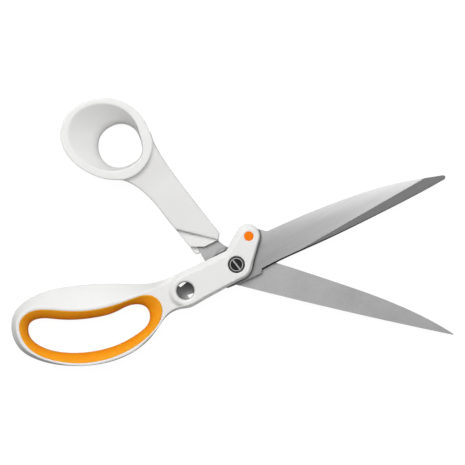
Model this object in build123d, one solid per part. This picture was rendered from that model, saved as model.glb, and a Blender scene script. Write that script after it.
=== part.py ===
from build123d import *

import math
import os

# Fabric shears with two moulded handles, about 240 mm long when closed.
#
# The two halves cross at a slotted pivot screw. The finger half is a white handle with a soft-lined
# loop, whose bent arm drives the front blade through the pivot and through a second, orange-capped
# pin. The thumb half is a blade whose tang is moulded into a handle with a funnel-shaped thumb ring.
#
# Both halves are drawn closed, in one frame: the pivot axis is +Z at the origin, both blade tips lie
# on +X, the front of the shears faces +Z, and z = 0 is the surface that the shears lie on. Each half
# is then turned about the pivot by half of OPEN_ANGLE, away from the other. Millimetres and degrees.

os.makedirs("parts", exist_ok=True)

# How far the shears stand open as stored
OPEN_ANGLE = 40.4

# The stack at the pivot, from the table up
NUT_FLANGE = 2.4
BLADE = 2.6
WASHER = 0.2
REAR_BACK = NUT_FLANGE
REAR_FACE = REAR_BACK + BLADE
FRONT_BACK = REAR_FACE + WASHER
FRONT_FACE = FRONT_BACK + BLADE
ARM_FACE = FRONT_FACE + 5.2
LOOP_FACE = 12.0
RING_FACE = 17.0
GAP = 0.4  # between parts that slide past each other

# Pivot screw, bushing and nut
SCREW_HEAD_R = 3.65
SCREW_HEAD = 1.7
SCREW_TOP = ARM_FACE - 0.15
SHANK_R = 2.6
THREAD_R = 2.0
SLOT_WIDTH = 0.8
SLOT_DEPTH = 0.9
HEAD_CHAMFER = 0.2
SLOT_TURN = -53.4  # the slot's direction as stored, from +X
BUSH_R = 4.38
BUSH_WALL = 0.68
BUSH_TUBE_R = 3.6
SPRING_WASHER = 0.5
CUP_FLOOR = SCREW_TOP - SCREW_HEAD - SPRING_WASHER - 0.04
CUP_BACK = CUP_FLOOR - 0.8
NUT_R = 5.6
NUT_BOSS_R = 3.8
NUT_FLATS = 6.4
NUT_FLOOR = 0.7
NUT_CHAMFER = 0.5
BLADE_WASHER_R = 6.5
FIT = 0.03  # radial running clearance

# Second pin, which links the handle's arm to the front blade
LINK = (11.7, 11.2)
LINK_PIN_R = 1.5
LINK_CAP_R = 2.5

# Arm of the finger handle: circles joined by tangents, wider below than on its face
ARM_PIVOT = (0, 0.3)
ARM_PIVOT_R = 8.4
ARM_LINK = (11.3, 11.35)
ARM_LINK_R = 6.33
EYE = (-29.9, -2.4)
EYE_HOLE_R = 4.7
EYE_BACK_R = 4.3  # the hole narrows towards the back
EYE_ARM = (-29.9, -2.05)
EYE_ARM_R = 9.25
ARM_BEVEL = 2.0
ARM_BEVEL_DROP = 1.7
CORE_BACK = FRONT_FACE + 1.4
CORE = 1.6
CORE_PIVOT_R = 6.0
CORE_LINK_R = 3.4
CORE_LEG_R = 5.0  # of the core's leg to the link pin, at the pivot
DISH_R = 15.0  # the core is dished under the eye
DISH = 0.7

CORE_OUTLINE = [(-43.0, -7.6), (-43.0, 4.0), (-34.4, 4.0), (-31.5, 0.3), (-27.7, 1.5), (-24.0, 2.7),
                (2.0, 3.4), (2.0, -5.1), (-26.3, -5.2), (-29.9, -4.9), (-29.3, -8.2)]

# Neck between the arm and the finger loop
ROOT_BACK = 0.8
ROOT_CLEARANCE_R = 39.5
ROOT_SHOULDER = FRONT_FACE + 1.0  # its sides are upright up to here, and lean in above
ROOT_BASE = [(-28.0, 7.1), (-37.5, 7.0), (-46.0, 8.1), (-53.0, 8.0), (-53.0, -13.0), (-47.5, -13.4),
             (-43.0, -10.9), (-37.3, -10.1), (-28.0, -11.1)]
ROOT_FACE = [(-28.0, 4.3), (-37.5, 4.0), (-46.0, 4.6), (-53.0, 4.5), (-53.0, -12.0), (-47.0, -12.3),
             (-42.6, -10.0), (-36.9, -9.0), (-28.0, -10.0)]

# Finger loop and its liner
LOOP_RIM = 1.7  # width of the white rim round the liner
GRIP_BACK = 0.5
GRIP_FACE = LOOP_FACE - GRIP_BACK
GRIP_LIP = 0.6  # flat width of the liner at each rim
GRIP_RIB = 0.8  # how far its rib stands into the loop
GRIP_RIB_WIDTH = 2.4

# Thumb handle
NECK_FACE = 9.2  # height of the neck at its pivot end
NECK_RISE = 5.5  # how steeply its front rises from there to the ring
NECK_BACK = 0.6
TANG_END = 36.0
TANG_HALF_WIDTH = 3.6
TANG_HOLES = (12.0, 26.0)  # the plastic flows through them
TANG_HOLE_R = 2.2
NECK_START = (-17.5, 5.8)  # where the tang enters the neck
NECK_DIRECTION = 145.1  # from +X, along the neck to the thumb ring
RING_FOOT = 5.0  # how far the ring's back stands out from its throat
RING_WAIST = 8.0  # height where the ring starts to flare
RING_THROAT_Z = 5.0  # height of the throat, which widens both ways from there
RING_BACK_FLARE = 1.4

# Outlines. Loops run anticlockwise from their end nearest the pivot.
LOOP_SIDE = [(-42.0, 6.8), (-57.8, 13.0), (-69.9, 18.0), (-82.2, 22.1), (-95.3, 25.1), (-107.6, 25.1),
             (-117.6, 21.2), (-122.6, 12.5), (-122.2, 3.0), (-115.2, -6.6), (-102.4, -15.2), (-84.5, -21.2),
             (-66.8, -21.6), (-53.6, -16.8), (-43.8, -10.4)]
GRIP_RIM = [(-49.8, 3.3), (-55.5, 4.3), (-64.2, 4.7), (-76.5, 6.4), (-88.5, 10.3), (-100.4, 16.1),
            (-109.2, 18.5), (-115.7, 16.1), (-118.4, 8.2), (-115.9, -0.9), (-107.2, -9.7), (-96.0, -15.9),
            (-84.5, -19.2), (-71.6, -19.9), (-56.2, -16.5), (-47.4, -10.6), (-44.6, -4.3), (-45.9, 0.2)]
GRIP_THROAT = [(-58.5, 1.4), (-68.3, 1.3), (-79.0, 2.7), (-89.0, 5.6), (-98.6, 9.9), (-106.7, 13.5),
               (-111.9, 13.1), (-114.6, 8.0), (-111.5, 0.1), (-103.0, -6.9), (-90.0, -12.4), (-75.0, -14.9),
               (-61.4, -13.5), (-53.3, -9.3), (-52.2, -2.9)]
RING_RIM = [(-60.5, 39.6), (-64.2, 51.8), (-74.5, 60.7), (-87.0, 62.8), (-99.2, 58.1), (-107.6, 48.4),
            (-108.0, 36.0), (-100.1, 26.5), (-87.0, 21.8), (-73.0, 22.9), (-64.0, 29.3)]
RING_FUNNEL = [(-64.3, 39.2), (-67.3, 47.3), (-75.1, 56.5), (-85.0, 59.8), (-95.9, 57.1), (-103.8, 49.4),
               (-104.7, 38.8), (-98.0, 29.8), (-87.3, 25.6), (-76.7, 26.6), (-68.0, 32.0)]
RING_THROAT = [(-65.2, 39.5), (-67.8, 46.6), (-73.4, 51.6), (-79.9, 51.9), (-85.4, 48.3), (-88.6, 42.0),
               (-88.0, 36.8), (-85.0, 32.0), (-79.6, 29.2), (-73.6, 29.9), (-68.5, 33.6)]
NECK_OUTER = [(-13.5, 13.0), (-34.1, 26.9), (-52.1, 39.9), (-59.5, 46.4), (-64.2, 51.8)]
NECK_INNER = [(-73.0, 22.9), (-66.1, 23.6), (-57.0, 20.8), (-50.4, 17.4), (-36.1, 7.8)]
NECK_STEP = (-12.8, 9.4)
COVER_END = [(-26.0, 1.3), (-18.6, 3.7)]
NUB = [(-26.0, 1.3), (-23.3, -0.9), (-21.8, -1.4), (-20.3, -0.7)]

FRONT_SPINE = [(22.6, 9.9), (40.3, 10.3), (54.5, 10.2), (68.5, 9.7), (82.2, 8.6), (95.7, 6.7), (108.1, 4.0),
               (118.0, 1.6)]
FRONT_TIP = [(118.0, 1.6), (119.1, 0.5), (118.2, -0.7)]
FRONT_EDGE = [(118.2, -0.7), (106.2, -2.1), (76.8, -4.5), (47.7, -6.2), (13.2, -7.7), (11.3, -7.9)]
FRONT_NOTCH = (10.6, -8.4)
FRONT_RICASSO = [(10.2, -9.1), (0.8, -9.7), (-9.0, -9.7)]
FRONT_SHOULDER = [(-9.3, 8.4), (-6.6, 9.6), (-3.9, 10.4), (-0.7, 9.9), (2.6, 11.1), (7.2, 14.5)]
BASE_R = 12.5
FRONT_LOBE_R = 5.3
REAR_EDGE = [(13.5, 7.2), (32.7, 7.3), (60.3, 7.0), (74.1, 6.6), (88.2, 5.6), (102.6, 3.8), (119.6, 0.2)]
REAR_SPINE = [(120.1, -0.4), (77.7, -4.6), (37.5, -7.9), (3.3, -10.2)]
REAR_BASE = [(3.3, -10.2), (-7.0, -8.9), (-16.1, -3.5), (-22.2, 2.5)]
REAR_THROAT = [(-12.7, 9.0), (-9.9, 7.8), (-5.5, 7.3), (3.0, 8.6), (11.0, 8.3)]

# Ground faces of the blades
EDGE_INSET = 0.9  # how far the steep bevel at the cutting edge leans back
GRIND_START = (24.1, -6.95)
GRIND_END = (108.1, 3.9)
REAR_GRIND_START = (24.1, 5.5)
REAR_GRIND_END = (108.1, -2.3)
GRIND_SLOPE = 19.0
GRIND_HEEL = 14.0  # no grinding nearer the pivot than this
GRIND_LENGTH = 130.0


def closed_curve(points, z):
    """A flat face inside the smooth loop through the points, at height z."""
    return Pos(0, 0, z) * make_face(Spline(*points, periodic=True))


def grown(points, amount):
    """The points of an anticlockwise loop, each moved outwards by amount."""
    moved = []
    for i, (x, y) in enumerate(points):
        (ax, ay), (bx, by) = points[i - 1], points[(i + 1) % len(points)]
        length = math.hypot(bx - ax, by - ay)
        moved.append((x + amount * (by - ay) / length, y - amount * (bx - ax) / length))
    return moved


def between(first, second, share):
    """The points part of the way from one loop to another."""
    return [(a + share * (c - a), b + share * (d - b)) for (a, b), (c, d) in zip(first, second)]


def at(point, z=0.0):
    """A place at a point of the closed frame, at height z."""
    return Pos(point[0], point[1], z)


def on_circle(centre, radius, turn):
    """The point of a circle at an angle from +X."""
    angle = math.radians(turn)
    return (centre[0] + radius * math.cos(angle), centre[1] + radius * math.sin(angle))


def disc(radius, low, high, centre=(0, 0)):
    """An upright cylinder from height low to height high."""
    return at(centre, low) * Cylinder(radius, high - low, align=(Align.CENTER, Align.CENTER, Align.MIN))


def strap(centre_a, radius_a, centre_b, radius_b, z):
    """A flat face at height z: two circles and the tangents that wrap them."""
    edges = (at(centre_a) * Circle(radius_a)).edges() + (at(centre_b) * Circle(radius_b)).edges()
    return Pos(0, 0, z) * make_hull(edges)


def neck_point(along, across):
    """A point of the thumb handle's neck, from where the tang enters it."""
    turn = math.radians(NECK_DIRECTION)
    return (NECK_START[0] + along * math.cos(turn) - across * math.sin(turn),
            NECK_START[1] + along * math.sin(turn) + across * math.cos(turn))


def above_grind(start, end, face, flip):
    """What the flat grind of a blade removes: all that stands proud of a plane leaning down from its line."""
    run = Vector(end[0] - start[0], end[1] - start[1], 0).normalized()
    side = Vector(run.Y, -run.X, 0) * (-1 if flip else 1)
    slope = math.radians(GRIND_SLOPE)
    up = -1 if flip else 1
    normal = side * math.sin(slope) + Vector(0, 0, up) * math.cos(slope)
    heel = start[0] - GRIND_HEEL
    middle = Vector(start[0], start[1], face) + run * (GRIND_LENGTH / 2 - heel)
    return extrude(Plane(origin=middle, x_dir=run, z_dir=normal) * Rectangle(GRIND_LENGTH, 40), 8)


def edge_wedge(points, sharp, blunt, lean, away):
    """What the steep bevel along a cutting edge removes: the edge is sharp at one height and leans back."""
    over = 0.1
    sections = []
    for share in (-over, 1 + over):
        shift = lean * share
        z = sharp + (blunt - sharp) * share
        line = Spline(*[(x, y + shift) for x, y in points])
        (ax, ay), (bx, by) = points[0], points[-1]
        rest = Polyline((bx, by + shift), (bx, away), (ax, away), (ax, ay + shift))
        sections.append(Pos(0, 0, z) * make_face([line, rest]))
    return loft(sections, ruled=True)


def front_blade():
    """The front blade: a broad base for both pins, and a blade ground on its front face."""
    low = FRONT_RICASSO[-1]
    lobe = [on_circle(LINK, FRONT_LOBE_R, turn) for turn in (101, 62, 28)]
    outline = [
        Spline(*FRONT_SPINE),
        Spline(*FRONT_TIP),
        Spline(*FRONT_EDGE),
        Line(FRONT_EDGE[-1], FRONT_NOTCH),
        Line(FRONT_NOTCH, FRONT_RICASSO[0]),
        Spline(*FRONT_RICASSO),
        ThreePointArc(low, (-BASE_R, -0.4), FRONT_SHOULDER[0]),
        Spline(*FRONT_SHOULDER, lobe[0]),
        ThreePointArc(*lobe),
        Spline(lobe[2], (19.3, 11.6), FRONT_SPINE[0], tangents=[(0.75, -0.66), (1, 0.02)]),
    ]
    blade = extrude(Pos(0, 0, FRONT_BACK) * make_face(outline), BLADE)
    blade -= edge_wedge(FRONT_EDGE, FRONT_BACK, FRONT_FACE, EDGE_INSET, -30)
    blade -= above_grind(GRIND_START, GRIND_END, FRONT_FACE, flip=False)
    blade -= disc(BUSH_TUBE_R + 0.02, FRONT_BACK - 1, FRONT_FACE + 1)
    blade -= disc(LINK_PIN_R, FRONT_BACK - 1, FRONT_FACE + 1, LINK)
    blade -= at(LINK, FRONT_BACK - 0.01) * Cone(LINK_PIN_R + 1.1, LINK_PIN_R, 1.1,
                                                align=(Align.CENTER, Align.CENTER, Align.MIN))
    return blade


def rear_blade_plate(low, high):
    """The rear blade's whole outline with its tang, between two heights."""
    tang_left, tang_right = REAR_BASE[-1], REAR_THROAT[0]
    end_left, end_right = neck_point(TANG_END, TANG_HALF_WIDTH), neck_point(TANG_END, -TANG_HALF_WIDTH)
    outline = [
        Spline(*REAR_EDGE),
        Line(REAR_EDGE[-1], REAR_SPINE[0]),
        Spline(*REAR_SPINE),
        Spline(*REAR_BASE),
        Line(tang_left, end_left),
        ThreePointArc(end_left, neck_point(TANG_END + 3.0, 0), end_right),
        Line(end_right, tang_right),
        Spline(*REAR_THROAT),
        Line(REAR_THROAT[-1], REAR_EDGE[0]),
    ]
    return extrude(Pos(0, 0, low) * make_face(outline), high - low)


def rear_blade():
    """The rear blade: flat in front, ground on its back, with a double-D hole and a tang with two keys."""
    blade = rear_blade_plate(REAR_BACK, REAR_FACE)
    blade -= edge_wedge(REAR_EDGE, REAR_FACE, REAR_BACK, -EDGE_INSET, 30)
    blade -= above_grind(REAR_GRIND_START, REAR_GRIND_END, REAR_BACK, flip=True)
    blade -= nut_boss(REAR_BACK - 1, REAR_FACE + 1, 0.02)
    for along in TANG_HOLES:
        blade -= disc(TANG_HOLE_R, REAR_BACK - 1, REAR_FACE + 1, neck_point(along, 0))
    return blade


def nut_boss(low, high, clearance):
    """The nut's boss, round with two flats, between two heights."""
    boss = disc(NUT_BOSS_R + clearance, low, high)
    width = NUT_FLATS + 2 * clearance
    return boss & Pos(0, 0, (low + high) / 2) * Box(20, width, high - low)


def pivot_nut():
    """A flanged blind nut whose flats keep it from turning in the rear blade."""
    nut = disc(NUT_R, 0, NUT_FLANGE)
    nut = chamfer(nut.edges().group_by(Axis.Z)[0], NUT_CHAMFER)
    nut += nut_boss(NUT_FLANGE, REAR_FACE - 0.1, 0)
    return nut - disc(THREAD_R + FIT, NUT_FLOOR, REAR_FACE + 1)


def pivot_screw():
    """The slotted pivot screw: a head, a smooth shank for the bushing, and a thinner threaded end."""
    head_back = SCREW_TOP - SCREW_HEAD
    head = disc(SCREW_HEAD_R, head_back, SCREW_TOP)
    head = chamfer(head.edges().group_by(Axis.Z)[-1], HEAD_CHAMFER)
    screw = head + disc(SHANK_R, REAR_FACE - 0.05, head_back)
    screw += disc(THREAD_R, NUT_FLOOR + 0.3, REAR_FACE)
    slot = Pos(0, 0, SCREW_TOP - SLOT_DEPTH / 2) * Box(20, SLOT_WIDTH, SLOT_DEPTH + 0.01)
    return screw - Rot(0, 0, SLOT_TURN) * slot


def pivot_bushing():
    """A black cup round the screw's head, on a tube that the blade turns on."""
    cup = disc(BUSH_R, CUP_BACK, ARM_FACE - 0.05)
    cup += disc(BUSH_TUBE_R, FRONT_BACK + 0.02, CUP_FLOOR)
    cup -= disc(BUSH_R - BUSH_WALL, CUP_FLOOR, ARM_FACE + 1)
    return cup - disc(SHANK_R + FIT, 0, ARM_FACE)


def spring_washer():
    """A coned washer under the screw's head, which keeps the blades pressed together."""
    low = SCREW_TOP - SCREW_HEAD - SPRING_WASHER - 0.02
    inner, outer, thick = SHANK_R + 0.1, BUSH_R - BUSH_WALL - 0.1, 0.3
    rise = SPRING_WASHER - thick
    section = make_face(Polyline((outer, low), (outer, low + thick), (inner, low + thick + rise),
                                 (inner, low + rise), close=True))
    return revolve(Plane.XZ * section, Axis.Z)


def blade_washer():
    """A thin washer between the blades, round the screw."""
    margin = 0.01
    ring = disc(BLADE_WASHER_R, REAR_FACE + margin, FRONT_BACK - margin)
    return ring - disc(SHANK_R + 0.1, 0, ARM_FACE)


def link_pin():
    """A countersunk pin, flush with the blade's inner face, that stands up into the handle's arm."""
    pin = disc(LINK_PIN_R, FRONT_BACK + 0.02, CORE_BACK + CORE + 0.65, LINK)
    pin += at(LINK, FRONT_BACK + 0.02) * Cone(LINK_PIN_R + 1.06, LINK_PIN_R, 1.07,
                                              align=(Align.CENTER, Align.CENTER, Align.MIN))
    return pin


def link_retainer():
    """A push-on ring that holds the pin in the arm, above the steel core."""
    low = CORE_BACK + CORE
    return disc(LINK_CAP_R - 0.1, low, low + 0.6, LINK) - disc(LINK_PIN_R, 0, ARM_FACE, LINK)


def link_cap():
    """The orange cap that closes the pin's hole in the arm."""
    cap = disc(LINK_CAP_R, CORE_BACK + CORE + 0.7, ARM_FACE + 0.1, LINK)
    return fillet(cap.edges().group_by(Axis.Z)[-1], 0.25)


def arm():
    """The raised, bent arm, from the eye past the pivot to the link pin, with its upper edges bevelled."""
    to_eye = strap(ARM_PIVOT, ARM_PIVOT_R, EYE_ARM, EYE_ARM_R, FRONT_FACE)
    to_link = strap((0, 0), ARM_PIVOT_R - ARM_PIVOT[1], ARM_LINK, ARM_LINK_R, FRONT_FACE)
    body = extrude(to_eye + to_link, ARM_FACE - FRONT_FACE)
    top = body.faces().sort_by(Axis.Z)[-1]
    return chamfer(top.edges(), ARM_BEVEL_DROP, ARM_BEVEL)


def finger_root():
    """The neck between the arm and the loop. Under the arm it stops short, to let the thumb handle by."""
    base = make_face(Polyline(*ROOT_BASE, close=True))
    face = make_face(Polyline(*ROOT_FACE, close=True))
    neck = extrude(Pos(0, 0, ROOT_BACK) * base, ROOT_SHOULDER - ROOT_BACK)
    neck += loft([Pos(0, 0, ROOT_SHOULDER) * base, Pos(0, 0, LOOP_FACE) * face], ruled=True)
    return neck - disc(ROOT_CLEARANCE_R, 0, FRONT_FACE)


def handle_core():
    """The steel core of the finger handle's arm: an eye at each pin and a wide foot behind the hole."""
    bar = make_face(Polyline(*CORE_OUTLINE, close=True))
    plate = extrude(Pos(0, 0, CORE_BACK) * bar, CORE)
    plate += disc(CORE_PIVOT_R, CORE_BACK, CORE_BACK + CORE)
    plate += extrude(strap((0, 0), CORE_LEG_R, LINK, CORE_LINK_R, CORE_BACK), CORE)
    plate -= disc(BUSH_R, 0, ARM_FACE)
    plate -= at(EYE, CORE_BACK + CORE + DISH_R - DISH) * Sphere(DISH_R)
    return plate - disc(LINK_PIN_R, 0, ARM_FACE, LINK)


def loop_shell():
    """The finger loop: fullest half-way up, drawn in to a narrow rim at the front and the back."""
    rim = grown(GRIP_RIM, LOOP_RIM)
    middle = LOOP_FACE / 2
    sections = [closed_curve(rim, 0), closed_curve(LOOP_SIDE, middle), closed_curve(rim, LOOP_FACE)]
    return loft(sections)


def grip_body():
    """The soft liner without its throat: it fills the loop, with a rib that locks it in."""
    body = extrude(closed_curve(GRIP_RIM, GRIP_BACK), GRIP_FACE - GRIP_BACK)
    rib_back = (LOOP_FACE - GRIP_RIB_WIDTH) / 2
    rib = extrude(closed_curve(grown(GRIP_RIM, GRIP_RIB), rib_back), GRIP_RIB_WIDTH)
    return body + rib


def finger_grip():
    """The orange liner of the finger loop, which bulges inwards half-way up."""
    lip = grown(GRIP_RIM, -GRIP_LIP)
    throat = loft([closed_curve(lip, GRIP_BACK - 0.01), closed_curve(GRIP_THROAT, LOOP_FACE / 2),
                   closed_curve(lip, GRIP_FACE + 0.01)])
    return grip_body() - throat


def arm_holes():
    """What is hollow in the arm: the eye, the cup of the bushing, and the link pin's hole and cap."""
    low, high = FRONT_FACE - 1, ARM_FACE + 1
    eye = at(EYE, FRONT_FACE) * Cone(EYE_BACK_R, EYE_HOLE_R, ARM_FACE - FRONT_FACE,
                                     align=(Align.CENTER, Align.CENTER, Align.MIN))
    cup = disc(BUSH_TUBE_R, low, high) + disc(BUSH_R, CUP_BACK, high)
    pin = disc(LINK_PIN_R, low, high, LINK) + disc(LINK_CAP_R, CORE_BACK + CORE, high, LINK)
    return [eye, cup, pin]


def finger_handle(core):
    """The white finger handle, moulded round its steel core."""
    room = grip_body() + extrude(closed_curve(GRIP_RIM, -1), LOOP_FACE + 2)
    handle = loop_shell() - room + (finger_root() - room)
    handle += arm() - extrude(closed_curve(GRIP_RIM, -1), LOOP_FACE + 2)
    for hole in arm_holes():
        handle -= hole
    return handle - core


def above_neck():
    """What stands above the neck's front, which rises from its pivot end to the ring."""
    start = neck_point(0, 0)
    along = Vector(*neck_point(1, 0)) - Vector(*start)
    across = Vector(-along.Y, along.X, 0)
    normal = along.cross(across) + along * -math.tan(math.radians(NECK_RISE))
    front = Plane(origin=(*start, NECK_FACE), x_dir=across, z_dir=normal)
    return extrude(front * Rectangle(120, 240), 20)


def neck_face(ends, z):
    """The neck's outline at height z. ends runs from its inner corner to its outer one."""
    across = Line(NECK_OUTER[-1], NECK_INNER[0])
    tail = Polyline(NECK_INNER[-1], *ends, NECK_STEP, NECK_OUTER[0])
    return Pos(0, 0, z) * make_face([Spline(*NECK_OUTER), across, Spline(*NECK_INNER), tail])


def thumb_handle(tang):
    """The white thumb handle: a funnel-shaped ring on a neck that is stepped to pass under the arm."""
    step = FRONT_FACE - GAP
    cover = REAR_FACE
    neck = extrude(neck_face([], step), RING_FACE - step)
    neck -= above_neck()
    neck += extrude(neck_face(COVER_END, cover), step - cover)
    neck += extrude(neck_face(NUB, NECK_BACK), cover - NECK_BACK)
    foot = grown(RING_THROAT, RING_FOOT)
    ring = loft([closed_curve(foot, 0), closed_curve(between(foot, RING_RIM, 0.35), RING_WAIST),
                 closed_curve(RING_RIM, RING_FACE)])
    handle = neck + ring
    handle -= loft([closed_curve(grown(RING_THROAT, RING_BACK_FLARE), -0.01),
                    closed_curve(RING_THROAT, RING_THROAT_Z), closed_curve(RING_FUNNEL, RING_FACE + 0.01)])
    return handle - tang


def write(name, shape, turn):
    """Turns a closed-frame shape about the pivot to where it lies as stored, and writes it."""
    export_step(Rot(0, 0, turn) * shape, f"parts/{name}.step")


def main():
    half = OPEN_ANGLE / 2
    core = handle_core()
    tang = rear_blade()
    write("handle_core", core, half)
    write("finger_handle", finger_handle(core), half)
    write("finger_grip", finger_grip(), half)
    write("front_blade", front_blade(), half)
    write("link_pin", link_pin(), half)
    write("link_retainer", link_retainer(), half)
    write("link_cap", link_cap(), half)
    write("pivot_bushing", pivot_bushing(), half)
    write("spring_washer", spring_washer(), half)
    write("rear_blade", tang, -half)
    write("thumb_handle", thumb_handle(tang), -half)
    write("pivot_nut", pivot_nut(), -half)
    write("blade_washer", blade_washer(), -half)
    write("pivot_screw", pivot_screw(), 0)


main()
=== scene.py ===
"""Fabric shears: moulded handles and soft liner as smooth meshes, materials, studio and camera.

The handles are drawn in the closed frame, in millimetres: the pivot axis is Z at the origin, both
blade tips lie on +X, and z = 0 is what the shears lie on. Each half is then turned about the pivot
to where it lies as stored. A shape is a function of x, y and z that is negative inside, close to the
distance from its surface in millimetres, and its mesh is taken from a grid of those values.
"""

import math

import bpy
import numpy as np
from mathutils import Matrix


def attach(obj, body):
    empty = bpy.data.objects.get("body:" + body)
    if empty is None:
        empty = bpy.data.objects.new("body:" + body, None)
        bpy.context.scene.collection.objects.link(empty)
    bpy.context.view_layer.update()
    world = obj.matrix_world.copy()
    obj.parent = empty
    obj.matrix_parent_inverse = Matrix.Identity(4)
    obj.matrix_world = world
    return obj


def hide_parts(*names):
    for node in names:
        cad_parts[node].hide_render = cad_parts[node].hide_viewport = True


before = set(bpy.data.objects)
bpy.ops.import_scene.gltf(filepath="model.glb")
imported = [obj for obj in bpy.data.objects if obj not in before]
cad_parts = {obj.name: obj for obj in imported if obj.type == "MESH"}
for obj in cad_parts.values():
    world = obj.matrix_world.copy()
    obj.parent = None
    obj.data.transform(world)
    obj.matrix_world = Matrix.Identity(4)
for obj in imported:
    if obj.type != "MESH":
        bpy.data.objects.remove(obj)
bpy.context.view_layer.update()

MM = 0.001
HALF_OPEN = 20.2  # degrees that each half is turned from closed
BRUSHED = 27.0  # direction of the front blade's brushing, from +X
CELL = 0.36  # grid spacing of the moulded meshes, in mm

# Heights in the stack
REAR_BACK, REAR_FACE = 2.4, 5.0
FRONT_FACE = 7.8
ARM_FACE = 13.0
LOOP_FACE = 12.0
RING_FACE = 17.0
STEP_FACE = 7.4
CORE_BACK, CORE_FACE = 9.2, 10.8
CUP_BACK = 9.81
SCREW_TOP = 12.85

LINK = (11.7, 11.2)
EYE = (-29.9, -2.4)

# Finger handle. A strap is a centre and a radius at one end, and at the other. The arm's sides are
# two straps from the pivot, to the eye and to the link, and the pad that is its face is two narrower ones.
ARM_TO_EYE = ((0, 0.3), 8.4, (-29.9, -2.05), 9.25)
ARM_TO_LINK = ((0, 0), 8.1, (11.3, 11.35), 6.33)
PAD_TO_EYE = ((0.2, -0.3), 6.6, EYE, 7.1)
PAD_TO_LINK = ((0.2, -0.3), 6.6, (12.3, 10.7), 4.5)
LOOP_WIDEST, ARM_WIDEST = 5.5, 11.2  # heights where the sides stand out furthest
ON_ARM_X = (-47, -32)  # where the loop's rounded sides give way to the arm's upright ones
NECK_DIP, NECK_DIP_X = 0.9, (-54, -40)  # how far the face goes down towards the eye, and where
RAISED_X = (-33, -28)  # where the face comes up to the arm's height over its whole width
RAISED_EDGE = (-0.3, 2.3)  # and how far outside the pad it has come down again
BEVEL = 0.8  # least height of the bevel
UNDER_ARM_R = 39.5  # nothing of the handle is nearer the pivot than this below the front blade's face
EYE_BACK_R, EYE_FACE_R = 4.3, 4.7
TUBE_R, CUP_R = 3.62, 4.4  # the hole for the bushing, and its wider part
PIN_R, CAP_R = 1.5, 2.4  # the hole for the link pin, and its wider part for the cap
SCREW_RIM_R = 3.02  # the screw's head is bright outside this
GRIP_LIP, GRIP_TUCK = 0.35, 0.3  # what the liner shows flat at its rim, and hides in the white

# Thumb handle
NECK_START = (-17.5, 5.8)
NECK_WAY = (-0.82, 0.572)  # from there to the ring
NECK_FACE = 9.2  # at the pivot end
NECK_RISE = 0.096  # what its front gains in height per millimetre towards the ring
NECK_SWELL, NECK_SWELL_ALONG = 1.1, (40, 56)  # what it gains besides as it meets the ring, and where
NECK_BACK = 0.6
NUB_FACE = 4.7
RING_LIP = 1.5  # the ring is widest from this far below its face
RING_FOOT = 5.0  # how far the ring's back stands out from its throat
FUNNEL_DEPTH = 12.0
FUNNEL_LEAN = 1.35  # above 1, the funnel reaches its throat before its full depth
THROAT_FLARE, THROAT_Z = 1.4, 5.0  # the throat widens by this at the back, from this height down

# Outlines in the closed frame
LOOP_SIDE = [(-18.0, 6.4), (-26.5, 7.0), (-37.5, 7.1), (-45.6, 8.2), (-57.8, 13.0), (-69.9, 18.0),
             (-82.2, 22.1), (-95.3, 25.1), (-107.6, 25.1), (-117.6, 21.2), (-122.6, 12.5), (-122.2, 3.0),
             (-115.2, -6.6), (-102.3, -15.1), (-84.5, -21.2), (-66.8, -21.6), (-53.6, -16.8),
             (-43.6, -10.9), (-37.3, -10.1), (-30.3, -11.3), (-24.0, -10.4), (-18.0, -9.4)]
LOOP_CREASE = [(-26.0, 4.7), (-36.0, 5.2), (-47.0, 5.2), (-57.0, 5.7), (-64.2, 6.4), (-76.5, 8.1),
               (-88.5, 12.0), (-100.5, 18.1), (-109.5, 20.4), (-117.0, 17.4), (-120.0, 9.9), (-119.5, 3.1),
               (-114.0, -5.3), (-105.0, -12.7), (-92.2, -18.9), (-78.0, -21.5), (-66.2, -21.1),
               (-56.5, -17.7), (-49.1, -13.9), (-42.8, -9.9), (-37.0, -9.0), (-30.3, -9.8), (-24.0, -9.2)]
GRIP_RIM = [(-49.8, 3.3), (-55.5, 4.3), (-64.2, 4.7), (-76.5, 6.4), (-88.5, 10.3), (-100.4, 16.1),
            (-109.2, 18.5), (-115.7, 16.1), (-118.4, 8.2), (-115.9, -0.9), (-107.2, -9.7), (-96.0, -15.9),
            (-84.5, -19.2), (-71.6, -19.9), (-56.2, -16.5), (-47.4, -10.6), (-44.6, -4.3), (-45.9, 0.2)]
GRIP_THROAT = [(-58.5, 1.4), (-68.3, 1.3), (-79.0, 2.7), (-89.0, 5.6), (-98.6, 9.9), (-106.7, 13.5),
               (-111.9, 13.1), (-114.6, 8.0), (-111.5, 0.1), (-103.0, -6.9), (-90.0, -12.4),
               (-75.0, -14.9), (-61.4, -13.5), (-53.3, -9.3), (-52.2, -2.9)]
RING_RIM = [(-60.5, 39.6), (-64.2, 51.8), (-74.5, 60.7), (-87.0, 62.8), (-99.2, 58.1), (-107.6, 48.4),
            (-108.0, 36.0), (-100.1, 26.5), (-87.0, 21.8), (-73.0, 22.9), (-64.0, 29.3)]
RING_FUNNEL = [(-64.3, 39.2), (-67.3, 47.3), (-75.1, 56.5), (-85.0, 59.8), (-95.9, 57.1), (-103.8, 49.4),
               (-104.7, 38.8), (-98.0, 29.8), (-87.3, 25.6), (-76.7, 26.6), (-68.0, 32.0)]
RING_THROAT = [(-65.2, 39.5), (-67.8, 46.6), (-73.4, 51.6), (-79.9, 51.9), (-85.4, 48.3), (-88.6, 42.0),
               (-88.0, 36.8), (-85.0, 32.0), (-79.6, 29.2), (-73.6, 29.9), (-68.5, 33.6)]
NECK_OUTER = [(-13.5, 13.0), (-34.1, 26.9), (-52.1, 39.9), (-59.5, 46.4), (-64.2, 51.8)]
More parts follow.
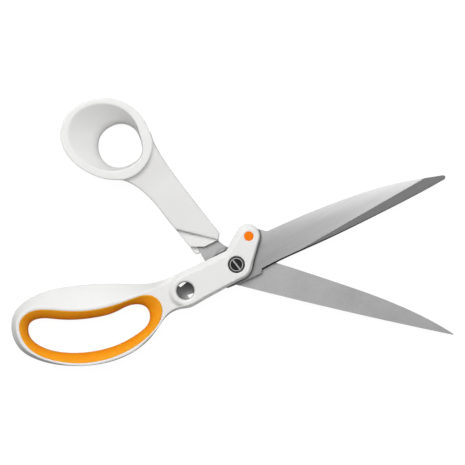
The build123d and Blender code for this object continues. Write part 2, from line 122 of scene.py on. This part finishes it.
NECK_INNER = [(-80.0, 26.5), (-72.5, 24.2), (-66.1, 23.6), (-57.0, 20.8), (-50.4, 17.4), (-43.3, 12.5),
              (-36.1, 7.8)]
NECK_STEP = [(-12.8, 9.4)]
COVER_END = [(-26.0, 1.3), (-18.6, 3.7), (-12.8, 9.4)]
NUB_END = [(-26.0, 1.3), (-23.3, -0.9), (-21.8, -1.4), (-20.3, -0.7), (-18.6, 3.7), (-12.8, 9.4)]
TANG = [(-12.7, 9.0), (-5.5, 7.3), (0.0, 0.0), (-7.0, -8.9), (-16.1, -3.5), (-22.2, 2.5), (-49.1, 23.4),
        (-49.5, 28.1), (-45.0, 29.3)]
CORE = [(-43.0, -7.6), (-43.0, 4.0), (-34.4, 4.0), (-31.5, 0.3), (-27.7, 1.5), (-24.0, 2.7), (2.0, 3.4),
        (2.0, -5.1), (-26.3, -5.2), (-29.9, -4.9), (-29.3, -8.2)]


# ---- Curves and distances in the plane ----


def spline(points, closed=False, spacing=0.7):
    """Points along the smooth curve through the given ones."""
    p = np.array(points, float)
    if closed:
        p = np.vstack([p, p[:1]])
    gap = np.hypot(*np.diff(p, axis=0).T)
    rate = np.diff(p, axis=0) / gap[:, None]
    count = len(gap) if closed else len(p)
    system = np.zeros((count, count))
    wanted = np.zeros((count, 2))
    for i in range(count):
        if not closed and i in (0, count - 1):
            j = 1 if i == 0 else count - 2
            system[i, i], system[i, j] = 2, 1
            wanted[i] = 3 * rate[0 if i == 0 else -1]
            continue
        before, after = gap[i - 1], gap[i % len(gap)]
        system[i, i - 1] += after
        system[i, i] += 2 * (before + after)
        system[i, (i + 1) % count] += before
        wanted[i] = 3 * (after * rate[i - 1] + before * rate[i % len(gap)])
    slope = np.linalg.solve(system, wanted)
    if closed:
        slope = np.vstack([slope, slope[:1]])
    out = []
    for i, length in enumerate(gap):
        t = np.arange(0, 1, 1 / max(1, round(length / spacing)))[:, None]
        out.append((1 + 2 * t) * (1 - t) ** 2 * p[i] + t * (1 - t) ** 2 * length * slope[i]
                   + t**2 * (3 - 2 * t) * p[i + 1] - t**2 * (1 - t) * length * slope[i + 1])
    return np.vstack(out if closed else out + [p[-1:]])


def inside_of(outline, x, y):
    """Signed distance to a closed outline, negative inside."""
    nearest = np.full(x.shape, 1e9)
    within = np.zeros(x.shape, bool)
    for (ax, ay), (bx, by) in zip(outline, np.roll(outline, -1, axis=0)):
        ex, ey = bx - ax, by - ay
        share = np.clip(((x - ax) * ex + (y - ay) * ey) / (ex * ex + ey * ey + 1e-12), 0, 1)
        nearest = np.minimum(nearest, (x - ax - share * ex) ** 2 + (y - ay - share * ey) ** 2)
        if ay != by:
            within ^= ((ay > y) != (by > y)) & (x < ex * (y - ay) / (by - ay) + ax)
    nearest = np.sqrt(nearest)
    return np.where(within, -nearest, nearest)


def strap(x, y, a, radius_a, b, radius_b):
    """Signed distance to two circles and the tangents that wrap them."""
    length = math.hypot(b[0] - a[0], b[1] - a[1])
    ux, uy = (b[0] - a[0]) / length, (b[1] - a[1]) / length
    along = (x - a[0]) * ux + (y - a[1]) * uy
    across = np.abs((y - a[1]) * ux - (x - a[0]) * uy)
    sine = (radius_a - radius_b) / length
    cosine = math.sqrt(1 - sine * sine)
    place = along * cosine - across * sine
    middle = across * cosine + along * sine - radius_a
    near_a = np.hypot(along, across) - radius_a
    near_b = np.hypot(along - length, across) - radius_b
    return np.where(place < 0, near_a, np.where(place > cosine * length, near_b, middle))


def either(a, b, soft):
    """The union of two shapes, with a fillet about as wide as soft."""
    return -both(-a, -b, soft)


def both(a, b, soft):
    """The part that two shapes share, with its edges rounded over about soft."""
    near = np.clip(soft - np.abs(a - b), 0, None)
    return np.maximum(a, b) + near * near / (4 * soft)


def ramp(value, low, high):
    """0 below low, 1 above high, and smooth between them."""
    t = np.clip((value - low) / (high - low), 0, 1)
    return t * t * (3 - 2 * t)


def mix(a, b, share):
    return a + (b - a) * share


def ring_about(x, y, centre):
    """Distance from an upright axis."""
    return np.hypot(x - centre[0], y - centre[1])


def stepped_hole(distance, z, narrow, wide, floor_z):
    """A round hole that widens above a height. distance is from its axis."""
    return np.minimum(distance - narrow, np.maximum(distance - wide, floor_z - z))


def plate(outline, x, y, z, low, high):
    """A flat piece between two heights."""
    return np.maximum(inside_of(np.array(outline), x, y), np.abs(z - (low + high) / 2) - (high - low) / 2)


# ---- The three moulded shapes ----


def finger_handle(x, y, z):
    """The loop, the neck and the raised, bent arm, whose sides lean in from the widest height up and down."""
    arm = either(strap(x, y, *ARM_TO_EYE), strap(x, y, *ARM_TO_LINK), 0.8)
    pad = either(strap(x, y, *PAD_TO_EYE), strap(x, y, *PAD_TO_LINK), 0.5)
    side = either(inside_of(spline(LOOP_SIDE), x, y), arm, 0.8)
    crease = either(inside_of(spline(LOOP_CREASE), x, y), pad, 0.8)
    raised = np.maximum(1 - ramp(pad, *RAISED_EDGE), ramp(x + (5 - y) / 3, *RAISED_X))
    top = mix(LOOP_FACE - NECK_DIP * ramp(x, *NECK_DIP_X), ARM_FACE, raised)
    on_arm = ramp(x, *ON_ARM_X)
    middle = np.minimum(mix(LOOP_WIDEST, ARM_WIDEST, on_arm), top - BEVEL)
    up = np.clip((z - middle) / (top - middle), 0, 1)
    down = np.clip((middle - z) / middle, 0, 1) * (1 - on_arm)
    shape = mix(side, crease, up ** mix(1.15, 1.0, on_arm) + down**1.6)
    shape = both(shape, z - top, 0.22)
    shape = both(shape, -z, 0.7)
    pivot = ring_about(x, y, (0, 0))
    under_arm = np.maximum(pivot - UNDER_ARM_R, z - FRONT_FACE)
    shape = both(shape, -under_arm, 0.5)
    shape = both(shape, -inside_of(spline(GRIP_RIM, closed=True), x, y), 0.2)
    eye = mix(EYE_BACK_R, EYE_FACE_R, np.clip((z - FRONT_FACE) / 4, 0, 1))
    shape = both(shape, eye - ring_about(x, y, EYE), 1.3)
    shape = both(shape, -stepped_hole(pivot, z, TUBE_R, CUP_R, CUP_BACK), 0.2)
    shape = both(shape, -stepped_hole(ring_about(x, y, LINK), z, PIN_R, CAP_R, CORE_FACE), 0.1)
    return both(shape, -plate(CORE, x, y, z, CORE_BACK, CORE_FACE), 0.1)


def finger_grip(x, y, z):
    """The soft liner: flush at the rim, where it goes a little into the white, and bulging half-way up."""
    rim = inside_of(spline(GRIP_RIM, closed=True), x, y)
    throat = inside_of(spline(GRIP_THROAT, closed=True), x, y)
    height = np.abs(z - LOOP_FACE / 2)
    lift = np.clip(height / (LOOP_FACE / 2 - 0.2), 0, 1) ** 1.9
    hollow = mix(throat, rim + GRIP_LIP, lift)
    shape = both(rim - GRIP_TUCK, -hollow, 0.3)
    return both(shape, height - (LOOP_FACE / 2 - 0.1), 0.2)


def thumb_outline(end):
    """The neck of the thumb handle, closed by the given points at its blade end."""
    return np.vstack([spline(NECK_OUTER), spline(NECK_INNER), np.array(end)])


def thumb_handle(x, y, z):
    """The funnel-shaped ring and the stepped neck."""
    throat = inside_of(spline(RING_THROAT, closed=True), x, y)
    rim = inside_of(spline(RING_RIM, closed=True), x, y)
    funnel = inside_of(spline(RING_FUNNEL, closed=True), x, y)
    height = np.clip(z / (RING_FACE - RING_LIP), 0, 1)
    ring = mix(throat - RING_FOOT, rim, height**1.4)
    ring = both(both(ring, z - RING_FACE, 0.6), -z, 1.0)
    along = (x - NECK_START[0]) * NECK_WAY[0] + (y - NECK_START[1]) * NECK_WAY[1]
    neck_top = NECK_FACE + NECK_RISE * along + NECK_SWELL * ramp(along, *NECK_SWELL_ALONG)
    neck = both(inside_of(thumb_outline(NECK_STEP), x, y), z - neck_top, 1.0)
    cover = both(inside_of(thumb_outline(COVER_END), x, y), z - STEP_FACE, 0.5)
    outline = inside_of(thumb_outline(NUB_END), x, y)
    nub = both(outline, z - NUB_FACE, 0.8)
    neck = either(neck, np.minimum(cover, nub), 0.3)
    neck = both(neck, NECK_BACK - z, 0.8)
    shape = both(both(either(neck, ring, 3.0), z - RING_FACE, 0.3), -z, 1.0)
    depth = np.clip((RING_FACE - z) / FUNNEL_DEPTH, 0, 1)
    narrowed = -both(-FUNNEL_LEAN * depth, -1, 0.3)
    opening = mix(funnel, throat, narrowed) - THROAT_FLARE * np.clip(1 - z / THROAT_Z, 0, 1) ** 2
    shape = both(shape, -opening, 0.25)
    shape = both(shape, either(rim, outline, 0.8), 0.2)
    return both(shape, -plate(TANG, x, y, z, REAR_BACK, REAR_FACE), 0.1)


# ---- From values on a grid to a mesh ----


def sampled(grid, low, points):
    """Values of a grid at points between its nodes."""
    place = (points - low) / CELL
    base = np.clip(np.floor(place).astype(int), 0, np.array(grid.shape) - 2)
    part = np.clip(place - base, 0, 1)
    total = np.zeros(len(points))
    for corner in np.ndindex(2, 2, 2):
        weight = np.prod(np.where(corner, part, 1 - part), axis=1)
        total += weight * grid[tuple((base + corner).T)]
    return total


def onto_surface(points, value, slopes, low):
    """Moves points along the slope until the value there is zero."""
    for _ in range(3):
        slope = np.stack([sampled(s, low, points) for s in slopes], axis=1)
        size = np.maximum((slope**2).sum(axis=1), 0.05)
        move = np.clip(sampled(value, low, points) / size, -CELL / 2, CELL / 2)
        points = points - move[:, None] * slope
    return points


def evened(points, quads):
    """Each point moved half-way to the mean of its neighbours."""
    total = np.zeros_like(points)
    count = np.zeros(len(points))
    for a, b in ((0, 1), (1, 2), (2, 3), (3, 0)):
        for here, there in ((quads[:, a], quads[:, b]), (quads[:, b], quads[:, a])):
            for axis in range(3):
                total[:, axis] += np.bincount(here, points[there, axis], len(points))
            count += np.bincount(here, minlength=len(points))
    return mix(points, total / count[:, None], 0.5)


def skin(shape, low, high):
    """Points and quads of the surface of a shape inside a box: one point per cell that it crosses."""
    low = np.array(low, float)
    steps = np.ceil((np.array(high) - low) / CELL).astype(int) + 1
    axes = [low[i] + CELL * np.arange(steps[i]) for i in range(3)]
    x, y = (a[..., None] for a in np.meshgrid(axes[0], axes[1], indexing="ij"))
    value = shape(x, y, axes[2][None, None, :])
    inside = value < 0
    full = np.zeros(steps - 1, int)
    for i, j, k in np.ndindex(2, 2, 2):
        full += inside[i:steps[0] - 1 + i, j:steps[1] - 1 + j, k:steps[2] - 1 + k]
    cells = np.argwhere((full > 0) & (full < 8))
    index = np.full(steps - 1, -1)
    index[tuple(cells.T)] = np.arange(len(cells))
    total = np.zeros((len(cells), 3))
    hits = np.zeros(len(cells))
    for corner in np.ndindex(2, 2, 2):
        for axis in range(3):
            if corner[axis]:
                continue
            other = np.array(corner)
            other[axis] = 1
            here, there = value[tuple((cells + corner).T)], value[tuple((cells + other).T)]
            crosses = (here < 0) != (there < 0)
            share = np.where(crosses, here / np.where(crosses, here - there, 1), 0)
            place = np.array(corner) + share[:, None] * (other - corner)
            total += np.where(crosses[:, None], place, 0)
            hits += crosses
    points = low + CELL * (cells + total / hits[:, None])
    quads = []
    for axis in range(3):
        second, third = (axis + 1) % 3, (axis + 2) % 3
        first = np.take(inside, range(steps[axis] - 1), axis)
        change = np.argwhere(first != np.take(inside, range(1, steps[axis]), axis))
        good = (change[:, [second, third]] > 0).all(axis=1)
        good &= (change[:, second] < steps[second] - 1) & (change[:, third] < steps[third] - 1)
        change = change[good]
        around = []
        for back in ((0, 0), (1, 0), (1, 1), (0, 1)):
            cell = change.copy()
            cell[:, second] -= back[0]
            cell[:, third] -= back[1]
            around.append(index[tuple(cell.T)])
        quad = np.stack(around, axis=1)
        outwards = first[tuple(change.T)]
        quads.append(np.where(outwards[:, None], quad, quad[:, ::-1]))
    quads = np.vstack(quads)
    slopes = np.gradient(value, CELL)
    points = onto_surface(points, value, slopes, low)
    for _ in range(3):
        points = onto_surface(evened(points, quads), value, slopes, low)
    return points, quads


def turned(points, degrees):
    """Closed-frame millimetres to metres where the half lies as stored."""
    t = math.radians(degrees)
    out = points * MM
    out[:, :2] = out[:, :2] @ np.array([[math.cos(t), math.sin(t)], [-math.sin(t), math.cos(t)]])
    return out


def moulding(name, shape, low, high, degrees, body, material, node):
    """A smooth mesh of a shape, which stands for a CAD node."""
    points, quads = skin(shape, low, high)
    mesh = bpy.data.meshes.new(name)
    mesh.from_pydata(turned(points, degrees).tolist(), [], quads.tolist())
    mesh.polygons.foreach_set("use_smooth", np.ones(len(quads), bool))
    mesh.materials.append(material)
    obj = bpy.data.objects.new(name, mesh)
    bpy.context.scene.collection.objects.link(obj)
    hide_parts(node)
    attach(obj, body)
    return obj


# ---- Materials ----


def map_range(tree, value, *ends):
    """A value's range moved: the ends are from, to, and what they become."""
    node = tree.nodes.new("ShaderNodeMapRange")
    for key, end in zip(("From Min", "From Max", "To Min", "To Max"), ends):
        node.inputs[key].default_value = end
    tree.links.new(value, node.inputs["Value"])
    return node.outputs["Result"]


class Nodes:
    """Short ways to add and join the nodes of a new material."""

    def __init__(self, name):
        self.material = bpy.data.materials.new(name)
        self.material.use_nodes = True
        self.tree = self.material.node_tree
        self.shader = next(n for n in self.tree.nodes if n.type == "BSDF_PRINCIPLED")
        self.place = self.add("ShaderNodeTexCoord").outputs["Object"]

    def add(self, kind, **values):
        node = self.tree.nodes.new(kind)
        for key, value in values.items():
            if key in node.inputs:
                node.inputs[key].default_value = value
            else:
                setattr(node, key, value)
        return node

    def join(self, source, target):
        self.tree.links.new(source, target)

    def mapped(self, turn=0.0, scale=(1, 1, 1)):
        """Object coordinates turned about Z and then scaled."""
        node = self.add("ShaderNodeMapping", vector_type="TEXTURE")
        node.inputs["Rotation"].default_value = (0, 0, math.radians(turn))
        node.inputs["Scale"].default_value = [1 / s for s in scale]
        self.join(self.place, node.inputs["Vector"])
        return node.outputs["Vector"]

    def noise(self, vector, scale, detail=2.0, rough=0.5):
        node = self.add("ShaderNodeTexNoise", Scale=scale, Detail=detail, Roughness=rough)
        self.join(vector, node.inputs["Vector"])
        return node.outputs["Fac"]

    def ranged(self, value, low, high, to_low, to_high):
        """From low to high, a value runs from to_low to to_high."""
        return map_range(self.tree, value, low, high, to_low, to_high)

    def colours(self, value, stops):
        """A colour ramp: stops are (place, grey or colour)."""
        node = self.add("ShaderNodeValToRGB")
        elements = node.color_ramp.elements
        while len(elements) < len(stops):
            elements.new(0.5)
        for element, (place, colour) in zip(elements, stops):
            element.position = place
            colour = (colour,) * 3 if isinstance(colour, float) else colour
            element.color = (*colour, 1)
        self.join(value, node.inputs["Fac"])
        return node.outputs["Color"]

    def worked_out(self, operation, *values):
        """An operation on outputs and plain numbers."""
        node = self.add("ShaderNodeMath", operation=operation)
        for value, socket in zip(values, node.inputs):
            if isinstance(value, float):
                socket.default_value = value
            else:
                self.join(value, socket)
        return node.outputs[0]

    def sum(self, a, b):
        return self.worked_out("ADD", a, b)

    def product(self, a, b):
        """Two colours multiplied."""
        node = self.add("ShaderNodeMix", data_type="RGBA", blend_type="MULTIPLY")
        node.inputs[0].default_value = 1.0
        self.join(a, node.inputs[6])
        self.join(b, node.inputs[7])
        return node.outputs[2]

    def blend(self, share, a, b):
        """From one colour to another."""
        node = self.add("ShaderNodeMix", data_type="RGBA")
        self.join(share, node.inputs[0])
        self.join(a, node.inputs[6])
        self.join(b, node.inputs[7])
        return node.outputs[2]

    def part(self, vector, axis):
        """One coordinate of a vector."""
        node = self.add("ShaderNodeSeparateXYZ")
        self.join(vector, node.inputs[0])
        return node.outputs[axis]

    def height(self):
        """Height above the plane that the shears lie on, in metres."""
        return self.part(self.place, "Z")

    def facing_up(self):
        """1 where a face looks straight up, 0 where it is upright."""
        return self.part(self.add("ShaderNodeNewGeometry").outputs["True Normal"], "Z")

    def along(self, turn):
        """Distance from the pivot along a direction in the plane, in metres."""
        return self.part(self.mapped(turn), "X")

    def painted_shade_in_gaps(self, colour, reach, stops):
        """The colour, darkened beside walls that are within reach: painted shade where the walls keep the
        light off.
        """
        gap = self.add("ShaderNodeAmbientOcclusion", samples=8, Distance=reach * MM)
        return self.product(colour, self.colours(gap.outputs["AO"], stops))

    def bump(self, value, strength, distance):
        node = self.add("ShaderNodeBump", Strength=strength, Distance=distance)
        self.join(value, node.inputs["Height"])
        self.join(node.outputs["Normal"], self.shader.inputs["Normal"])
        return node


def white_plastic():
    """Satin white moulding with a fine sparked texture and faint handling marks."""
    m = Nodes("white_plastic")
    cloud = m.noise(m.place, 60, 4)
    m.join(m.colours(cloud, [(0.3, (0.80, 0.797, 0.788)), (0.7, (0.825, 0.822, 0.813))]),
           m.shader.inputs["Base Color"])
    m.join(m.ranged(m.noise(m.place, 900, 3), 0.3, 0.7, 0.36, 0.48), m.shader.inputs["Roughness"])
    m.bump(m.noise(m.place, 3200, 2), 0.12, 0.0002)
    m.shader.inputs["Specular IOR Level"].default_value = 0.4
    return m.material


def orange_rubber():
    """Soft-touch orange rubber, deeper in colour half-way up than at its rims, whose lighter colour is a
    painted sheen.
    """
    m = Nodes("orange_rubber")
    from_middle = m.worked_out("ABSOLUTE", m.worked_out("SUBTRACT", m.height(), LOOP_FACE / 2 * MM))
    # Painted sheen: lighter and paler towards both rims.
    painted_rim_sheen = m.ranged(from_middle, 1.0 * MM, 5.4 * MM, 0.0, 0.9)
    cloud = m.ranged(m.noise(m.place, 90, 4), 0.3, 0.7, 0.0, 0.1)
    m.join(m.colours(m.sum(painted_rim_sheen, cloud), [(0.0, (0.82, 0.26, 0.0005)), (1.0, (0.97, 0.375, 0.016))]),
           m.shader.inputs["Base Color"])
    m.join(m.ranged(m.noise(m.place, 700, 3), 0.3, 0.7, 0.42, 0.55), m.shader.inputs["Roughness"])
    m.bump(m.noise(m.place, 2600, 2), 0.15, 0.0002)
    m.shader.inputs["Specular IOR Level"].default_value = 0.1
    m.shader.inputs["Subsurface Weight"].default_value = 0.4
    m.shader.inputs["Subsurface Radius"].default_value = (1.0, 0.25, 0.02)
    m.shader.inputs["Subsurface Scale"].default_value = 3 * MM
    return m.material


def orange_cap():
    """Smooth, redder orange plastic with a faint swirl from moulding."""
    m = Nodes("orange_cap")
    cloud = m.noise(m.place, 400, 3)
    m.join(m.colours(cloud, [(0.3, (0.93, 0.195, 0.001)), (0.7, (0.97, 0.21, 0.002))]),
           m.shader.inputs["Base Color"])
    m.shader.inputs["Specular IOR Level"].default_value = 0.1
    m.join(m.ranged(m.noise(m.place, 1500, 2), 0.3, 0.7, 0.28, 0.4), m.shader.inputs["Roughness"])
    m.bump(m.noise(m.place, 2500, 2), 0.08, 0.0001)
    return m.material


def front_steel():
    """Blade steel brushed lengthwise, with a painted reflection lighter towards the tip, a painted highlight
    towards the spine, a darker ground bevel, painted near-black reflection on the steep edge and painted
    shade beside the handle.
    """
    m = Nodes("front_steel")
    fine = m.noise(m.mapped(BRUSHED, (60, 5200, 60)), 1.0, 4, 0.6)
    tone = m.noise(m.mapped(BRUSHED, (22, 1300, 22)), 1.0, 3)
    streaks = m.sum(m.ranged(fine, 0.25, 0.75, 0, 0.1), m.ranged(tone, 0.25, 0.75, 0, 0.05))
    # Painted reflection: the flat of the blade lighter from the pivot towards the tip.
    painted_tip_light = m.ranged(m.along(HALF_OPEN), 5 * MM, 105 * MM, 0.0, 0.53)
    # Painted highlight: the blade lighter towards its spine.
    painted_spine_highlight = m.ranged(m.along(HALF_OPEN + 90), 3 * MM, 10 * MM, 0.0, 0.22)
    flat = m.colours(m.sum(m.sum(streaks, painted_tip_light), painted_spine_highlight), [(0.0, 0.3), (0.35, 0.46), (0.85, 0.9)])
    bevel = m.colours(streaks, [(0.0, 0.46), (0.2, 0.56)])
    height = m.ranged(m.height(), 5.2 * MM, FRONT_FACE * MM, 0, 1)
    face = m.blend(m.ranged(height, 0.95, 0.99, 0, 1), bevel, flat)
    # Painted reflection: steep edge faces near black, as a mirror-like edge facing a dark room looks.
    painted_dark_edge = m.colours(m.facing_up(), [(0.1, 1.0), (0.2, 0.03), (0.6, 0.03), (0.8, 1.0)])
    # Painted shade on the blade beside the handle's arm and under its edge.
    m.join(m.painted_shade_in_gaps(m.product(face, painted_dark_edge), 2.0, [(0.48, 0.06), (0.68, 0.5), (0.88, 1.0)]),
           m.shader.inputs["Base Color"])
    m.join(m.ranged(fine, 0.3, 0.7, 0.34, 0.46), m.shader.inputs["Roughness"])
    m.shader.inputs["Metallic"].default_value = 1.0
    m.bump(fine, 0.08, 0.0001)
    return m.material


def rear_steel():
    """Blade steel with a fine even grain."""
    m = Nodes("rear_steel")
    grain = m.noise(m.mapped(-HALF_OPEN, (1300, 1900, 1300)), 1.0, 4, 0.75)
    cloud = m.noise(m.place, 60, 3)
    total = m.sum(grain, m.ranged(cloud, 0.3, 0.7, -0.12, 0.12))
    colour = m.colours(total, [(0.28, 0.35), (0.72, 0.45)])
    # Painted shade on the blade beside the front blade's edge and the handle.
    m.join(m.painted_shade_in_gaps(colour, 1.6, [(0.35, 0.4), (0.8, 1.0)]), m.shader.inputs["Base Color"])
    m.join(m.ranged(grain, 0.3, 0.7, 0.45, 0.58), m.shader.inputs["Roughness"])
    m.shader.inputs["Metallic"].default_value = 1.0
    m.bump(grain, 0.2, 0.0001)
    return m.material


def plain_steel(name, low, high, rough):
    """Rolled or turned steel with a light grain."""
    m = Nodes(name)
    grain = m.noise(m.mapped(0, (900, 2400, 900)), 1.0, 4, 0.6)
    m.join(m.colours(grain, [(0.3, low), (0.7, high)]), m.shader.inputs["Base Color"])
    m.join(m.ranged(grain, 0.3, 0.7, rough, rough + 0.12), m.shader.inputs["Roughness"])
    m.shader.inputs["Metallic"].default_value = 1.0
    m.bump(grain, 0.12, 0.0001)
    return m.material


def black_plastic():
    """Black bushing plastic with a slight sheen."""
    m = Nodes("black_plastic")
    grain = m.noise(m.place, 1800, 3)
    m.join(m.colours(grain, [(0.3, 0.012), (0.7, 0.03)]), m.shader.inputs["Base Color"])
    m.join(m.ranged(grain, 0.3, 0.7, 0.35, 0.5), m.shader.inputs["Roughness"])
    m.bump(grain, 0.1, 0.0001)
    return m.material


def screw_head():
    """Blackened steel, bright where it was turned or cut: at the rim and in the slot."""
    m = Nodes("screw_head")
    flat = m.add("ShaderNodeCombineXYZ")
    for axis in ("X", "Y"):
        m.join(m.part(m.place, axis), flat.inputs[axis])
    radius = m.add("ShaderNodeVectorMath", operation="LENGTH")
    m.join(flat.outputs[0], radius.inputs[0])
    rim = m.ranged(radius.outputs["Value"], SCREW_RIM_R * MM, (SCREW_RIM_R + 0.1) * MM, 0, 1)
    deep = m.ranged(m.height(), (SCREW_TOP - 0.1) * MM, (SCREW_TOP - 0.25) * MM, 0, 1)
    bright = m.worked_out("MAXIMUM", rim, deep)
    grain = m.noise(m.place, 2500, 3)
    tone = m.worked_out("MULTIPLY_ADD", grain, 0.1, bright)
    m.join(m.colours(tone, [(0.0, 0.006), (0.1, 0.014), (0.9, 0.4), (1.0, 0.5)]),
           m.shader.inputs["Base Color"])
    m.join(m.ranged(grain, 0.3, 0.7, 0.3, 0.45), m.shader.inputs["Roughness"])
    m.join(bright, m.shader.inputs["Metallic"])
    m.shader.inputs["Specular IOR Level"].default_value = 0.2
    m.bump(grain, 0.1, 0.0001)
    return m.material


def washer_plastic():
    """Slippery milky plastic."""
    m = Nodes("washer_plastic")
    cloud = m.noise(m.place, 500, 3)
    m.join(m.colours(cloud, [(0.3, (0.7, 0.7, 0.66)), (0.7, (0.76, 0.76, 0.72))]),
           m.shader.inputs["Base Color"])
    m.join(m.ranged(cloud, 0.3, 0.7, 0.3, 0.4), m.shader.inputs["Roughness"])
    return m.material


def dress(material, *nodes):
    """Puts one material on CAD nodes."""
    for name in nodes:
        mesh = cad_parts[name].data
        mesh.materials.clear()
        mesh.materials.append(material)


# ---- Studio ----

# Brightness of the sky by one part of its direction: part, from, to, brightness there and there
SKY = [("Y", -0.7, 0.4, 0.2, 0.42), ("Z", 0.0, -0.1, 0.0, 0.3)]


def floor():
    """A plain pale floor just under the shears, so bright of itself that shadows stay faint."""
    bpy.ops.mesh.primitive_plane_add(size=4.0, location=(0, 0, -0.1 * MM))
    plane = bpy.context.object
    plane.name = "floor"
    m = Nodes("floor")
    m.shader.inputs["Base Color"].default_value = (0.08, 0.08, 0.08, 1)
    m.shader.inputs["Roughness"].default_value = 0.9
    m.shader.inputs["Specular IOR Level"].default_value = 0.0
    m.shader.inputs["Emission Color"].default_value = (1, 1, 1, 1)
    m.shader.inputs["Emission Strength"].default_value = 0.96
    plane.data.materials.append(m.material)
    plane.visible_diffuse = False
    plane.visible_glossy = False


def softbox(name, place, aim, size, power):
    """A square area light that faces a point."""
    light = bpy.data.lights.new(name, "AREA")
    light.shape = "SQUARE"
    light.size = size
    light.energy = power
    obj = bpy.data.objects.new(name, light)
    obj.location = place
    way = np.array(aim) - np.array(place)
    tilt = math.acos(-way[2] / np.linalg.norm(way))
    obj.rotation_euler = (tilt, 0, math.atan2(way[1], way[0]) - math.pi / 2)
    bpy.context.scene.collection.objects.link(obj)


def lights():
    """A dim sky, darker on the near side, a soft key light from the far left and a softbox over the right."""
    world = bpy.data.worlds.new("studio")
    world.use_nodes = True
    bpy.context.scene.world = world
    tree = world.node_tree
    background = next(n for n in tree.nodes if n.type == "BACKGROUND")
    background.inputs["Color"].default_value = (1, 1, 1, 1)
    way = tree.nodes.new("ShaderNodeTexCoord")
    parts = tree.nodes.new("ShaderNodeSeparateXYZ")
    tree.links.new(way.outputs["Generated"], parts.inputs[0])
    sky = tree.nodes.new("ShaderNodeMath")
    sky.operation = "MAXIMUM"
    for i, (axis, *ends) in enumerate(SKY):
        tree.links.new(map_range(tree, parts.outputs[axis], *ends), sky.inputs[i])
    tree.links.new(sky.outputs[0], background.inputs["Strength"])
    softbox("key", (-0.35, 0.6, 1.1), aim=(0, 0.02, 0), size=0.7, power=11.4)
    softbox("overhead", (0.57, 0.1, 1.0), aim=(0.57, 0.1, 0), size=0.95, power=2.1)


def camera():
    """Straight above, with a long lens, rolled a little, so that +X points slightly up in the picture."""
    lens = 200.0
    sensor = 36.0
    centre_x, centre_y = -1.34 * MM, 16.84 * MM
    view_width = 243.7 * MM  # at the height of the subject
    subject_height = 9 * MM
    roll = -2.4
    data = bpy.data.cameras.new("camera")
    data.lens = lens
    data.sensor_width = sensor
    obj = bpy.data.objects.new("camera", data)
    obj.location = (centre_x, centre_y, view_width * lens / sensor + subject_height)
    obj.rotation_euler = (0, 0, math.radians(roll))
    bpy.context.scene.collection.objects.link(obj)
    bpy.context.scene.camera = obj


# ---- The scene ----

bpy.context.scene.view_settings.view_transform = "Standard"

# Each box holds its shape with room to spare, in millimetres of the closed frame.
white = white_plastic()
moulding("finger_handle_moulding", finger_handle, (-125, -24, -1.3), (20, 28, 14.3), HALF_OPEN, "finger_half",
         white, "finger_handle")
moulding("finger_grip_liner", finger_grip, (-121, -23, -1), (-42, 22, 13), HALF_OPEN, "finger_half",
         orange_rubber(), "finger_grip")
moulding("thumb_handle_moulding", thumb_handle, (-111, -4, -1.3), (-9, 66, 18.3), -HALF_OPEN, "thumb_half",
         white, "thumb_handle")

dress(front_steel(), "front_blade")
dress(rear_steel(), "rear_blade")
# The core's steel is much darker than the other steel: painted shade for the deep eye it lies in.
dress(plain_steel("core_steel", 0.1, 0.135, 0.38), "handle_core")
dress(plain_steel("pin_steel", 0.5, 0.6, 0.3), "link_pin", "link_retainer", "spring_washer", "pivot_nut")
dress(orange_cap(), "link_cap")
dress(black_plastic(), "pivot_bushing")
dress(screw_head(), "pivot_screw")
dress(washer_plastic(), "blade_washer")

floor()
lights()
camera()
